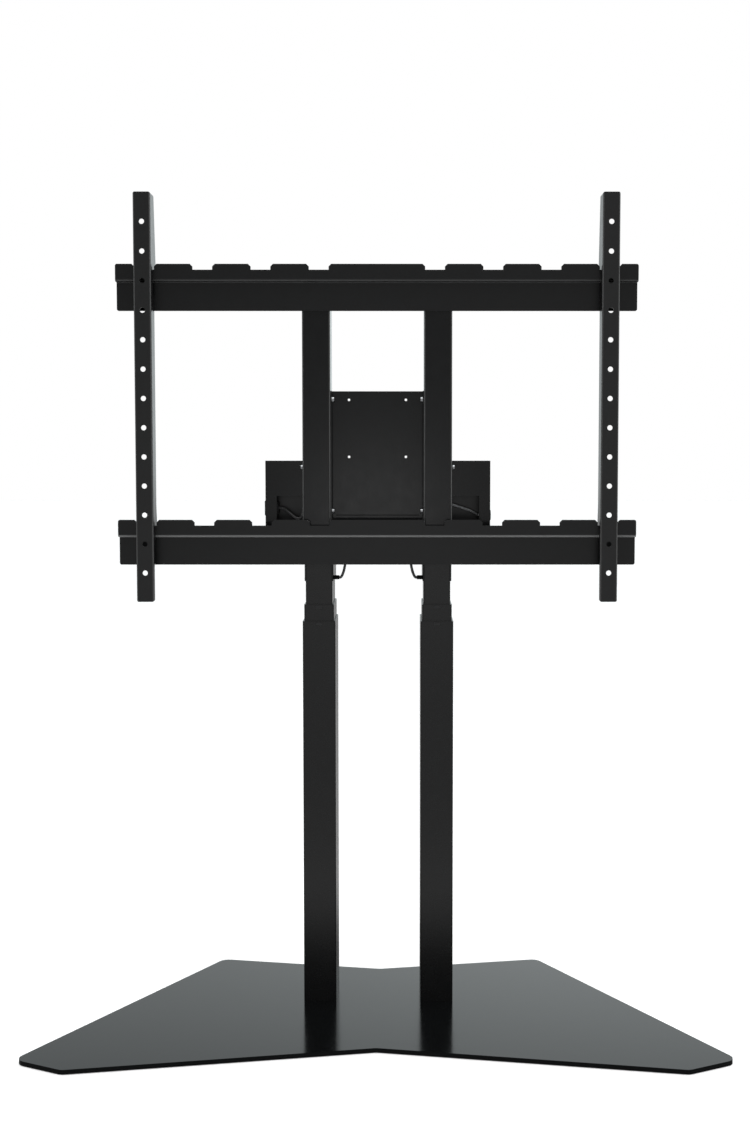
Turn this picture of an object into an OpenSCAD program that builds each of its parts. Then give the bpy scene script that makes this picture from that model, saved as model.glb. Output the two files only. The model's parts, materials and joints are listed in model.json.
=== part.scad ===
// Height-adjustable display floor stand with two three-stage lifting columns.
// Millimetres. +Z is up and the display side faces -Y.
// The origin is on the floor, under the middle of the floor plate.

/* [Floor plate] */
// Width between the two outer corners
plate_w = 1196; // [900:1:1400]
// Width between the two front corners
plate_front_w = 1021; // [700:1:1180]
// Width between the two rear corners
plate_rear_w = 617; // [420:1:900]
// Depth from the front corners to the rear corners
plate_d = 556; // [460:1:700]
// Distance of the outer corners behind the front corners
plate_outer_back = 45; // [10:1:120]
// Depth of the shallow notch in the middle of the front edge
plate_front_notch = 94; // [0:1:120]
// Depth of the shallow notch in the middle of the rear edge
plate_rear_notch = 58; // [0:1:80]
// Thickness of the steel floor plate
plate_t = 8; // [5:0.5:15]
// Corner radius of the plate outline
plate_corner_r = 19; // [2:0.5:20]
// Radius of one rubber floor pad
pad_r = 15; // [8:0.5:25]
// Distance of the floor pads from the corners of the plate
pad_inset = 38; // [34:1:44]
// Thickness of one rubber floor pad
pad_t = 1; // [0.5:0.1:5]

/* [Columns] */
// Distance between the centre lines of the two columns
column_pitch = 212; // [190:1:260]
// Distance of the column centre lines behind the origin
column_y = 105.5; // [60:0.5:120]
// Width of the outer tube
outer_w = 59; // [54:0.5:80]
// Depth of the outer tube
outer_d = 126; // [110:1:160]
// Length of the outer tube
outer_len = 697; // [600:1:900]
// Wall of every telescopic tube
tube_wall = 1.5; // [1:0.1:2]
// Difference in width from one stage to the next
stage_step = 5.5; // [5:0.1:8]
// Outer corner radius of every telescopic tube
tube_r = 2.5; // [2.5:0.1:5]
// Height of the middle tube above the outer tube when retracted
middle_rise = 30; // [15:1:60]
// Height of the head sleeve above the middle tube when retracted
head_gap = 42; // [20:1:60]
// Stroke of the whole lift
lift_stroke = 650; // [300:10:650]
// Height of the plastic glides between two tubes
glide_h = 60; // [30:1:90]
// Running gap between a glide and the tube that slides on it
glide_gap = 0.3; // [0.2:0.05:0.5]
// Width of the clip window near the top of the outer and middle tubes
window_w = 12; // [6:0.5:20]
// Height of the clip window
window_h = 6; // [4:0.5:12]
// Distance of the clip window below the top of its tube
window_drop = 2; // [1:0.5:8]

/* [Drive] */
// Radius of the lifting spindle
spindle_r = 9; // [6:0.5:11]
// Radial running clearance of the spindle in its nut
spindle_clearance = 0.1; // [0.05:0.01:0.2]
// Radius of the spindle journal in the gearbox
journal_r = 6; // [4:0.5:8]
// Length of the spindle journal
journal_len = 30; // [15:1:40]
// Radial running clearance of the journal in the gearbox
journal_clearance = 0.05; // [0.02:0.01:0.1]
// Outer radius of the post that carries the nut
post_r = 15; // [13:0.5:18]
// Wall of the nut post
post_wall = 2; // [1.5:0.5:3]
// Radius of the spindle nut
nut_r = 17; // [14:0.5:20]
// Height of the spindle nut
nut_h = 40; // [20:1:50]
// Depth of the gearbox casting
gearbox_d = 70; // [50:1:74]
// Height of the gearbox casting
gearbox_h = 62; // [45:1:75]
// Radius of the drive motor
motor_r = 19; // [14:0.5:20]
// Height of the drive motor
motor_h = 84; // [60:1:90]

/* [Foot and head] */
// Height of the steel block inside the foot of each column
foot_block_h = 20; // [12:1:40]
// Radius of the countersunk foot screws
foot_screw_r = 4; // [3:0.5:5]
// Radius of a countersunk head
foot_head_r = 8; // [6:0.5:9]
// Length of a foot screw
foot_screw_len = 24; // [18:1:26]
// Wall of the head sleeve
sleeve_wall = 2; // [1.5:0.5:4]
// Height of the head sleeve
head_h = 116; // [100:1:140]
// Wall of the bracket between the head and the upright
bracket_t = 3; // [2:0.5:5]
// Height of the head bracket
bracket_h = 62; // [50:1:70]
// Depth of the head bracket
bracket_d = 52; // [30:1:60]
// Radius of the bolts through the head bracket
bracket_bolt_r = 4; // [3:0.5:5]
// Radius of the bolts that hold the head to the cross panel
head_bolt_r = 3; // [2:0.5:4]

/* [Uprights] */
// Width of one upright channel
upright_w = 49; // [44:0.5:52]
// Depth of one upright channel
upright_d = 67; // [60:1:90]
// Sheet thickness of the upright channels
upright_t = 2.5; // [1.5:0.5:4]
// Outer bend radius of the upright channels
upright_r = 3; // [3:0.5:6]

/* [Rails] */
// Length of both rails
rail_len = 900; // [888:1:980]
// Sheet thickness of the rails
rail_t = 3; // [2:0.5:4]
// Height of the front lip above the bend
lip_h = 30; // [26:0.5:36]
// Height of the lower flange below the bend
flange_h = 49; // [44:0.5:60]
// Offset from the front of the lip to the front of the flange
rail_step = 14.5; // [12:0.5:20]
// Outer bend radius of the rails
rail_r = 4.5; // [3.5:0.5:6]
// Height between the two rails
rail_pitch = 440; // [380:1:480]
// Distance from one recess to the next
recess_pitch = 100; // [95:1:105]
// Width of one recess between two tabs
recess_w = 34; // [32:0.5:38]
// Depth of one recess
recess_d = 10; // [8:0.5:12]
// Width of the sloped shoulder at each side of a recess
shoulder_w = 4.5; // [1:0.5:8]
// Height of the sloped shoulder
shoulder_h = 4.5; // [1:0.5:7]
// Radius of the free corners of the rails
rail_corner_r = 3.5; // [1:0.5:6]
// Radius of the weld studs on the back of the rails
stud_r = 4; // [3:0.5:5]

/* [Display arms] */
// Distance between the two arms, which is the width of the hole pattern
arm_pitch = 800; // [800:1:802]
// Length of an arm beyond its first and last display hole
arm_end = 50; // [45:1:80]
// Width of one arm
arm_w = 30; // [26:0.5:31]
// Sheet thickness of the arms
arm_t = 2; // [1.5:0.5:3]
// Outer bend radius of the arms
arm_r = 3; // [2.5:0.5:5]
// Corner radius at the ends of the arms
arm_end_r = 3.5; // [1:0.5:8]
// Number of display holes in one arm
hole_count = 13; // [12:1:13]
// Distance from one display hole to the next
hole_pitch = 50; // [48:1:52]
// Radius of the display holes
hole_r = 4.5; // [3:0.5:6]
// Height of the lower hook seat above the lower end of the arm
hook_height = 131; // [110:1:140]
// Distance from the front of the arm to the front of the rail lip
lip_setback = 21.5; // [18:0.5:26]
// Depth of the arm just above its upper hook
arm_hook_d = 55; // [45:0.5:60]
// Depth of the arm at its upper end
arm_top_d = 37; // [25:0.5:45]
// Depth of the arm between the rails
arm_mid_d = 35; // [26:0.5:35.5]
// Depth of the arm at its lower end
arm_foot_d = 11; // [8:0.5:20]
// Depth by which a hook reaches down behind the rail lip
hook_reach = 14; // [8:0.5:15]
// Clearance of a hook around the rail lip
hook_clearance = 0.4; // [0.3:0.1:1]

/* [Device plate] */
// Distance between the device holes, across and up
device_pitch = 100; // [75:1:110]
// Radius of the device holes
device_hole_r = 2.2; // [1.5:0.1:3.5]
// Height of the device plate
device_h = 242; // [225:1:250]
// Distance of the device plate below the upper rail
device_drop = 137; // [110:1:150]
// Height of the web edge above the upper device holes
device_margin = 15; // [10:1:25]
// Sheet thickness of the device plate
device_t = 2; // [1.5:0.5:3]
// Distance of the device plate web behind the upright fronts
device_setback = 30; // [26:1:40]
// Depth of the side flanges of the device plate
device_flange_d = 22; // [18:1:26]
// Height of the narrow slot across the device plate
device_slot_h = 1.2; // [0.8:0.1:3]
// Distance of that slot below the lower device holes
device_slot_drop = 102; // [90:1:104]
// Radius of the side bolts of the device plate and the cross panel
side_bolt_r = 3; // [2:0.5:4]
// Radius of the heads of the side bolts
side_head_r = 4.5; // [4:0.5:7]
// Height of the heads of the side bolts
side_head_h = 4; // [3:0.5:6]

/* [Cross panel and rear cover] */
// Width of the cross panel
panel_w = 402; // [380:1:460]
// Height of the cross panel
panel_h = 163; // [150:1:180]
// Sheet thickness of the cross panel
panel_t = 2.5; // [2:0.5:4]
// Height of the cross panel above the foot of the lower rail
panel_above_rail = 18; // [12:1:24]
// Width of the cable window in each wing of the panel
cable_window_w = 48; // [30:1:50]
// Height of the cable window
cable_window_h = 50; // [30:1:54]
// Distance of the cable window above the lower edge of the panel
cable_window_up = 50; // [45:1:60]
// Distance of the cable window from the side edge of the panel
cable_window_in = 20; // [14:1:22]
// Height of the ears that hold the panel to the uprights
ear_h = 30; // [20:1:36]
// Depth of the ears
ear_d = 24; // [18:1:30]
// Sheet thickness of the rear cover
cover_t = 1.5; // [1:0.5:2.5]
// Inner depth of the rear cover behind the heads
cover_d = 129; // [125:1:150]
// Inner depth of the two wings of the rear cover
wing_d = 44; // [42:1:60]
// Radius of the four posts that carry the rear cover
cover_post_r = 4; // [3:0.5:5]
// Radius of the cover screws
cover_screw_r = 2; // [1.5:0.5:2.5]

/* [Electronics] */
// Width of the control unit
control_w = 236; // [180:1:240]
// Depth of the control unit
control_d = 40; // [30:1:44]
// Height of the control unit
control_h = 84; // [60:1:86]
// Gap between the control unit and the top wall of the cover
control_drop = 5; // [3:0.5:6]
// Width of the fixing lugs of the control unit
lug_w = 14; // [10:1:16]
// Thickness of the fixing lugs
lug_t = 3; // [2:0.5:5]
// Width of the mains inlet body
inlet_w = 27; // [24:0.5:30]
// Height of the mains inlet body
inlet_h = 20; // [18:0.5:24]
// Depth of the mains inlet body
inlet_d = 22; // [18:1:26]
// Radius of the signal socket
socket_r = 6; // [4:0.5:8]
// Depth of the signal socket body
socket_d = 12; // [8:1:16]
// Radius of a motor lead
motor_lead_r = 2.4; // [1.5:0.1:3]
// Radius of the inlet lead
inlet_lead_r = 2.5; // [2:0.1:3]
// Radius of the signal lead
signal_lead_r = 2.1; // [1.5:0.1:2.5]
// Radius of the strain relief boot at the head
boot_r = 4; // [3:0.5:5]
// Length of the strain relief boot outside the head
boot_len = 10; // [6:0.5:14]

/* [Hidden] */

// One overrun serves every cut, and one assembly gap every loose fit
overrun = 1;
fit_gap = 0.3;
bolt_gap = 0.2;
thread_gap = 0.05;
arc_steps = 6;
round_fn = 40;
left = -1;
right = 1;

// Floor plate outline, from the front notch round to the left
base_top = pad_t + plate_t;
plate_front_y = -plate_d / 2;
plate_rear_y = plate_d / 2;
plate_outline = [
    [0, plate_front_y + plate_front_notch],
    [plate_front_w / 2, plate_front_y],
    [plate_w / 2, plate_front_y + plate_outer_back],
    [plate_rear_w / 2, plate_rear_y],
    [0, plate_rear_y - plate_rear_notch],
    [-plate_rear_w / 2, plate_rear_y],
    [-plate_w / 2, plate_front_y + plate_outer_back],
    [-plate_front_w / 2, plate_front_y]
];
pad_places = [
    [plate_front_w / 2 - pad_inset, plate_front_y + pad_inset],
    [plate_w / 2 - 3 * pad_inset, plate_front_y + plate_outer_back + pad_inset],
    [plate_rear_w / 2 - pad_inset / 2, plate_rear_y - pad_inset],
    [column_pitch / 2, plate_front_y + plate_front_notch + pad_inset / 2]
];

// Telescopic stages
tube_inner_r = tube_r - tube_wall;
middle_w = outer_w - stage_step;
middle_d = outer_d - stage_step;
inner_w = middle_w - stage_step;
inner_d = middle_d - stage_step;
stage_gap = stage_step / 2 - tube_wall;
glide_t = stage_gap - glide_gap;
outer_top = base_top + outer_len;
foot_top = base_top + foot_block_h;
stage_bottom_gap = 5;
middle_bottom = foot_top + stage_bottom_gap;
middle_top = outer_top + middle_rise;
middle_len = middle_top - middle_bottom;
inner_bottom = middle_bottom + stage_bottom_gap;
head_bottom = middle_top + head_gap;
head_top = head_bottom + head_h;
inner_len = head_top - sleeve_wall - inner_bottom;
sleeve_w = inner_w + 2 * sleeve_wall;
sleeve_d = inner_d + 2 * sleeve_wall;

// Drive inside each column
gearbox_bottom = head_bottom + 14;
nut_top = gearbox_bottom - 35;
nut_bottom = nut_top - nut_h;
post_bore_r = post_r - post_wall;
spindle_bottom = inner_bottom + 6;
spindle_shoulder = gearbox_bottom - fit_gap;
inner_cavity_w = inner_w - 2 * tube_wall;
inner_cavity_d = inner_d - 2 * tube_wall;
gearbox_w = inner_cavity_w - 2 * fit_gap;
motor_bottom = gearbox_bottom + 8;
gearbox_front_y = column_y - inner_cavity_d / 2;
motor_y = gearbox_front_y + gearbox_d + fit_gap + motor_r;

// Chain from the heads forward to the display arms
head_front_y = column_y - sleeve_d / 2;
panel_front_y = head_front_y - panel_t;
upright_front_y = panel_front_y - upright_d;
flange_front_y = upright_front_y - rail_t;
lip_front_y = flange_front_y - rail_step;
arm_front_y = lip_front_y - lip_setback;

// Heights of the rails, uprights and arms
first_hole = arm_end;
arm_len = (hole_count - 1) * hole_pitch + 2 * arm_end;
lower_rail_above_head = 35;
lower_rail_z = head_bottom + lower_rail_above_head;
upper_rail_z = lower_rail_z + rail_pitch;
rail_h = flange_h + lip_h;
seat_z = rail_h - recess_d;
arm_z = lower_rail_z + seat_z - hook_height;
upright_inset = 4;
upright_z = lower_rail_z + upright_inset;
upright_top = upper_rail_z + flange_h - upright_inset / 4;
stud_len = 11;
stud_share_low = 0.28;
stud_share_high = 0.74;
stud_heights = [flange_h * stud_share_low, flange_h * stud_share_high];
recess_places = [for (i = [-4 : 4]) if (i != 0) i * recess_pitch];

// Device plate
device_w = column_pitch - upright_w;
device_web_y = upright_front_y + device_setback;
device_top = upper_rail_z - device_drop;
device_bottom = device_top - device_h;
device_holes_z = device_top - device_margin;
device_slot_z = device_holes_z - device_pitch - device_slot_drop;
device_bolt_y = device_web_y - device_flange_d / 2;
device_bolts_z = [device_top - device_margin, device_slot_z + side_head_r + device_t];

// Cross panel, cover and electronics
panel_z = lower_rail_z + panel_above_rail;
panel_top = panel_z + panel_h;
upright_outer_x = column_pitch / 2 + upright_w / 2;
upright_inner_x = column_pitch / 2 - upright_w / 2;
ear_bolt_z = panel_top - 12;
ear_bolt_y = panel_front_y - ear_d / 2;
bracket_z = lower_rail_z + (flange_h + lip_h - bracket_h) / 2;
bracket_w = upright_w - 2 * upright_t;
bracket_bolts_z = [bracket_z + bracket_h / 4, bracket_z + 3 * bracket_h / 4];
bracket_bolt_y = panel_front_y - bracket_d / 2;
cover_inset = 16;
cover_rear_y = head_front_y + cover_d;
wing_rear_y = head_front_y + wing_d;
core_w = column_pitch + sleeve_w + 4 * fit_gap + 2 * cover_t;
cover_post_places = [
    for (s = [left, right]) for (z = [panel_z + cover_inset, panel_top - cover_inset])
        [s * (panel_w / 2 - cover_inset), z]
];
control_z = panel_top - cover_t - control_drop - control_h;
lug_hole_r = 2.3;
lug_screw_r = 2;
lug_screw_z = control_z + control_h / 2;
inlet_y = head_front_y + 22;
inlet_z = panel_z + 78;
socket_y = head_front_y + 22;
socket_z = panel_z + 65;
boot_y = head_front_y + 13.5;
boot_z = head_bottom + 6;
boot_tip_share = 0.85;
boot_face_x = column_pitch / 2 - sleeve_w / 2;

// Routes of the leads, as round numbers
motor_lead_points = [
    [70, 784], [68, 784], [66.2, 785.4], [64.7, 787.8], [63.3, 791.2], [61.8, 796], [60.4, 802],
    [59.2, 810], [58.2, 822], [57.2, 838], [56.5, 856], [56, 878], [56, 903.5]
];
inlet_lead_points = [
    [-179, 68, 909], [-173, 68, 908.5], [-167, 66, 906], [-160, 63, 901], [-153, 61, 895],
    [-147, 61, 891], [-141, 62, 890.5], [-137.5, 63, 894], [-136, 64, 900], [-134, 65, 908],
    [-129, 66, 914], [-123, 66, 916], [-118, 66, 916]
];
signal_lead_points = [
    [118, 62, 917], [124, 62, 917], [132, 62, 915.5], [142, 62, 912.5], [152, 62.5, 909.5],
    [163, 64, 905.5], [173, 66, 900.5], [181, 68, 896.5], [187.5, 68, 896]
];
lead_sides = 8;

// Unit vector of a 2D vector
function unit(v) = v / norm(v);
// Points of one rounded corner, or the corner itself where the radius is zero
function corner_points(a, b, c, r) =
    r <= 0 ? [b] :
    let (u = unit(a - b), v = unit(c - b))
    let (half_angle = acos(max(-1, min(1, u * v))) / 2)
    let (centre = b + unit(u + v) * r / sin(half_angle))
    let (p = b + u * r / tan(half_angle) - centre, q = b + v * r / tan(half_angle) - centre)
    let (start = atan2(p[1], p[0]), turn = atan2(q[1], q[0]) - start)
    let (sweep = turn > 180 ? turn - 360 : turn < -180 ? turn + 360 : turn)
    [for (i = [0 : arc_steps]) centre + r * [cos(start + sweep * i / arc_steps),
                                             sin(start + sweep * i / arc_steps)]];
// Outline with each corner rounded by its own radius
function rounded(points, radii) = [
    for (i = [0 : len(points) - 1])
        for (p = corner_points(points[(i + len(points) - 1) % len(points)], points[i],
                               points[(i + 1) % len(points)], radii[i])) p
];
function same(points, r) = [for (p = points) r];
// Rectangle centred on the origin with rounded corners
function rect_points(w, d, r) =
    let (p = [[w / 2, -d / 2], [w / 2, d / 2], [-w / 2, d / 2], [-w / 2, -d / 2]])
    rounded(p, same(p, r));
// Channel with its web in front, open to the rear
function channel_points(w, d, t, r) = rounded(
    [[-w / 2, 0], [w / 2, 0], [w / 2, d], [w / 2 - t, d],
     [w / 2 - t, t], [-w / 2 + t, t], [-w / 2 + t, d], [-w / 2, d]],
    [r, r, 0, 0, r - t, r - t, 0, 0]);

// Smooth curve through route points, with its rings for a swept tube
function route_at(p, i, s) =
    let (a = p[max(i - 1, 0)], b = p[i], c = p[i + 1], d = p[min(i + 2, len(p) - 1)])
    0.5 * (2 * b + (c - a) * s + (2 * a - 5 * b + 4 * c - d) * s * s
           + (3 * b - a - 3 * c + d) * s * s * s);
function route_path(p) = concat([for (i = [0 : len(p) - 2]) each [p[i], route_at(p, i, 0.5)]],
                                [p[len(p) - 1]]);
function direction(p, i) = unit(p[min(i + 1, len(p) - 1)] - p[max(i - 1, 0)]);
function ring(c, d, r, ref) =
    let (side = unit(cross(d, ref)), up = cross(side, d))
    [for (k = [0 : lead_sides - 1])
        c + r * (side * cos(360 * k / lead_sides) + up * sin(360 * k / lead_sides))];
// Tube swept along a route, with its two ends square to the given directions
module lead_tube(points, r, ref, first, last) {
    path = route_path(points);
    n = len(path);
    dirs = [for (i = [0 : n - 1]) i == 0 ? first : i == n - 1 ? last : direction(path, i)];
    verts = [for (i = [0 : n - 1]) each ring(path[i], dirs[i], r, ref)];
    sides = [
        for (i = [0 : n - 2]) for (k = [0 : lead_sides - 1])
            let (a = i * lead_sides + k, b = i * lead_sides + (k + 1) % lead_sides)
            each [[a, b, b + lead_sides], [a, b + lead_sides, a + lead_sides]]
    ];
    caps = [
        [for (k = [lead_sides - 1 : -1 : 0]) k],
        [for (k = [0 : lead_sides - 1]) (n - 1) * lead_sides + k]
    ];
    polyhedron(points = verts, faces = concat(sides, caps), convexity = 4);
}

// Extrudes an outline given in Y and Z along X, centred on X
module along_x(length, points) {
    translate([-length / 2, 0, 0]) rotate([90, 0, 90]) linear_extrude(length) polygon(points);
}
// Extrudes an outline given in X and Z along Y, from y0 to y1
module along_y(y0, y1, points) {
    translate([0, y1, 0]) rotate([90, 0, 0]) linear_extrude(y1 - y0) polygon(points);
}
// Cylinder along X from x0 to x1
module rod_x(x0, x1, y, z, r) {
    translate([min(x0, x1), y, z]) rotate([0, 90, 0]) cylinder(r = r, h = abs(x1 - x0), $fn = round_fn);
}
// Cylinder along Y from y0 to y1
module rod_y(x, y0, y1, z, r) {
    translate([x, y1, z]) rotate([90, 0, 0]) cylinder(r = r, h = y1 - y0, $fn = round_fn);
}
// Cylinder along Z from z0 to z1
module rod_z(x, y, z0, z1, r) {
    translate([x, y, z0]) cylinder(r = r, h = z1 - z0, $fn = round_fn);
}
// Puts its children on the centre line of one column
module at_column(side) {
    translate([side * column_pitch / 2, column_y, 0]) children();
}
// Rectangular ring with an outer and an inner rounded outline
module ring_prism(w, d, r, wall, inner_r, z0, z1) {
    translate([0, 0, z0]) linear_extrude(z1 - z0) difference() {
        polygon(rect_points(w, d, r));
        polygon(rect_points(w - 2 * wall, d - 2 * wall, inner_r));
    }
}
// Clip windows in the front and rear faces of a tube
module clip_windows(d, top, gap) {
    for (s = [-1, 1])
        translate([-window_w / 2 + gap, s * (d / 2 - tube_wall / 2) - tube_wall / 2 - (gap > 0 ? 0 : overrun),
                   top - window_drop - window_h + gap])
            cube([window_w - 2 * gap, tube_wall + (gap > 0 ? 0 : 2 * overrun), window_h - 2 * gap]);
}

foot_screw_places = [for (x = [-1, 1]) for (y = [-1, 1]) [x * outer_w / 5, y * outer_d / 4]];

module floor_plate() {
    color("#2b2d2e") difference() {
        translate([0, 0, pad_t]) linear_extrude(plate_t)
            polygon(rounded(plate_outline, same(plate_outline, plate_corner_r)));
        for (s = [left, right]) at_column(s) for (p = foot_screw_places) translate([p[0], p[1], 0]) {
            rod_z(0, 0, pad_t - overrun, base_top + overrun, foot_screw_r + bolt_gap);
            translate([0, 0, pad_t]) cylinder(r1 = foot_head_r + bolt_gap, r2 = foot_screw_r + bolt_gap,
                                              h = foot_head_r - foot_screw_r, $fn = round_fn);
        }
    }
}

module floor_pads() {
    color("#151515") for (s = [left, right]) for (p = pad_places) rod_z(s * p[0], p[1], 0, pad_t, pad_r);
}

module foot_screws() {
    color("#8f9296") for (s = [left, right]) at_column(s) for (p = foot_screw_places) translate([p[0], p[1], pad_t]) {
        cylinder(r1 = foot_head_r, r2 = foot_screw_r, h = foot_head_r - foot_screw_r, $fn = round_fn);
        rod_z(0, 0, foot_head_r - foot_screw_r - thread_gap, foot_screw_len, foot_screw_r);
    }
}

module foot_block(side) {
    color("#55585b") at_column(side) difference() {
        translate([0, 0, base_top]) linear_extrude(foot_block_h)
            polygon(rect_points(outer_w - 2 * tube_wall, outer_d - 2 * tube_wall, tube_inner_r));
        for (p = foot_screw_places)
            rod_z(p[0], p[1], base_top - overrun, foot_top + overrun, foot_screw_r + thread_gap);
    }
}

module outer_tube(side) {
    color("#1d1f20") at_column(side) difference() {
        ring_prism(outer_w, outer_d, tube_r, tube_wall, tube_inner_r, base_top, outer_top);
        clip_windows(outer_d, outer_top, 0);
    }
}

// Plastic collar at the top of a tube, with clips that sit in the tube's windows
module glide(side, w, d, top) {
    color("#141414") at_column(side) {
        ring_prism(w - 2 * tube_wall, d - 2 * tube_wall, tube_inner_r, glide_t,
                   max(tube_inner_r - glide_t, 0), top - glide_h, top);
        clip_windows(d, top, fit_gap);
    }
}

module nut_post(side) {
    color("#77797c") at_column(side) difference() {
        rod_z(0, 0, foot_top, nut_bottom, post_r);
        rod_z(0, 0, foot_top - overrun, nut_bottom + overrun, post_bore_r);
    }
}

module spindle_nut(side) {
    color("#c9b37a") at_column(side) difference() {
        rod_z(0, 0, nut_bottom, nut_top, nut_r);
        rod_z(0, 0, nut_bottom - overrun, nut_top + overrun, spindle_r + spindle_clearance);
    }
}

module middle_tube(side) {
    color("#1d1f20") at_column(side) difference() {
        ring_prism(middle_w, middle_d, tube_r, tube_wall, tube_inner_r, middle_bottom, middle_top);
        clip_windows(middle_d, middle_top, 0);
    }
}

// Plastic shoe around the lower end of a sliding tube
module shoe(side, w, d, bottom) {
    color("#141414") at_column(side)
        ring_prism(w + 2 * glide_t, d + 2 * glide_t, tube_r, glide_t, tube_r, bottom, bottom + glide_h);
}

module inner_tube(side) {
    color("#1d1f20") difference() {
        at_column(side) ring_prism(inner_w, inner_d, tube_r, tube_wall, tube_inner_r,
                                   inner_bottom, inner_bottom + inner_len);
        lead_hole(side);
        head_bolt_holes(side, head_bolt_r + bolt_gap);
    }
}

// Round hole for the strain relief boot in the inner side of a head
module lead_hole(side) {
    rod_x(side * (boot_face_x - overrun), side * (column_pitch / 2 - inner_cavity_w / 2 + overrun),
          boot_y, boot_z, boot_r + thread_gap);
}

head_bolt_x = bracket_w / 2 - bracket_t - 9;
head_bolt_heights = [gearbox_bottom + 42, gearbox_bottom + 54];

module head_bolt_holes(side, r) {
    for (x = [-1, 1]) for (z = head_bolt_heights)
        rod_y(side * column_pitch / 2 + x * head_bolt_x, panel_front_y - bracket_t - overrun,
              gearbox_front_y + tube_wall, z, r);
}

module head_sleeve(side) {
    color("#1d1f20") difference() {
        at_column(side) union() {
            ring_prism(sleeve_w, sleeve_d, tube_r + sleeve_wall, sleeve_wall, tube_r, head_bottom, head_top);
            translate([0, 0, head_top - sleeve_wall]) linear_extrude(sleeve_wall)
                polygon(rect_points(sleeve_w, sleeve_d, tube_r + sleeve_wall));
        }
        lead_hole(side);
        head_bolt_holes(side, head_bolt_r + bolt_gap);
    }
}

module gearbox(side) {
    color("#6d7074") difference() {
        translate([side * column_pitch / 2, gearbox_front_y + gearbox_d / 2, gearbox_bottom]) linear_extrude(gearbox_h)
            polygon(rect_points(gearbox_w, gearbox_d, gearbox_corner_r));
        at_column(side) rod_z(0, 0, gearbox_bottom - overrun, gearbox_bottom + journal_len + fit_gap,
                              journal_r + journal_clearance);
        for (x = [-1, 1]) for (z = head_bolt_heights)
            rod_y(side * column_pitch / 2 + x * head_bolt_x, gearbox_front_y - overrun,
                  gearbox_front_y + head_bolt_depth + fit_gap, z, head_bolt_r + thread_gap);
    }
}

head_bolt_depth = 10;
gearbox_corner_r = 4;
motor_neck_h = 8;

module motor(side) {
    color("#9a9da1") {
        rod_z(side * column_pitch / 2, motor_y, motor_bottom, motor_bottom + motor_h - motor_neck_h, motor_r);
        rod_z(side * column_pitch / 2, motor_y, motor_bottom + motor_h - motor_neck_h,
              motor_bottom + motor_h, motor_r / 2);
    }
}

module spindle(side) {
    color("#b4b7ba") at_column(side) {
        rod_z(0, 0, spindle_bottom, spindle_shoulder, spindle_r);
        rod_z(0, 0, spindle_shoulder, gearbox_bottom + journal_len, journal_r);
    }
}

module head_bracket(side) {
    color("#2a2c2e") difference() {
        translate([side * column_pitch / 2, panel_front_y, bracket_z]) rotate([0, 0, 180])
            linear_extrude(bracket_h) polygon(channel_points(bracket_w, bracket_d, bracket_t, bracket_t + overrun));
        for (z = bracket_bolts_z)
            rod_x(side * (column_pitch / 2 - bracket_w / 2 - overrun), side * (column_pitch / 2 + bracket_w / 2 + overrun),
                  bracket_bolt_y, z, bracket_bolt_r + bolt_gap);
        head_bolt_holes(side, head_bolt_r + bolt_gap);
    }
}

head_bolt_head_r = 5;
head_bolt_head_h = 4;

module head_bolts() {
    color("#a5a8ab") for (s = [left, right]) for (x = [-1, 1]) for (z = head_bolt_heights) {
        rod_y(s * column_pitch / 2 + x * head_bolt_x, panel_front_y - bracket_t - head_bolt_head_h,
              panel_front_y - bracket_t, z, head_bolt_head_r);
        rod_y(s * column_pitch / 2 + x * head_bolt_x, panel_front_y - bracket_t - thread_gap,
              gearbox_front_y + head_bolt_depth, z, head_bolt_r);
    }
}

bracket_head_r = 6.5;
bracket_head_h = 5.3;
bracket_bolt_len = 12;

module bracket_bolts() {
    color("#a5a8ab") for (s = [left, right]) for (e = [-1, 1]) for (z = bracket_bolts_z)
        translate([s * column_pitch / 2 + e * upright_w / 2, bracket_bolt_y, z]) rotate([0, e * 90, 0]) {
            cylinder(r = bracket_head_r, h = bracket_head_h, $fn = 6);
            translate([0, 0, -bracket_bolt_len]) cylinder(r = bracket_bolt_r, h = bracket_bolt_len + thread_gap, $fn = round_fn);
        }
}

module upright(side) {
    color("#1d1f20") difference() {
        translate([side * column_pitch / 2, upright_front_y, upright_z]) linear_extrude(upright_top - upright_z)
            polygon(channel_points(upright_w, upright_d, upright_t, upright_r));
        for (rail = [lower_rail_z, upper_rail_z]) for (h = stud_heights)
            rod_y(side * column_pitch / 2, upright_front_y - overrun, upright_front_y + upright_t + overrun,
                  rail + h, stud_r + bolt_gap);
        for (z = bracket_bolts_z)
            rod_x(side * (upright_inner_x - overrun), side * (upright_outer_x + overrun), bracket_bolt_y, z,
                  bracket_bolt_r + bolt_gap);
        for (z = device_bolts_z)
            rod_x(side * (upright_inner_x - overrun), side * (upright_inner_x + upright_t + overrun),
                  device_bolt_y, z, side_bolt_r + thread_gap);
        rod_x(side * (upright_outer_x - upright_t - overrun), side * (upright_outer_x + overrun),
              ear_bolt_y, ear_bolt_z, side_bolt_r + thread_gap);
    }
}

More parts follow.
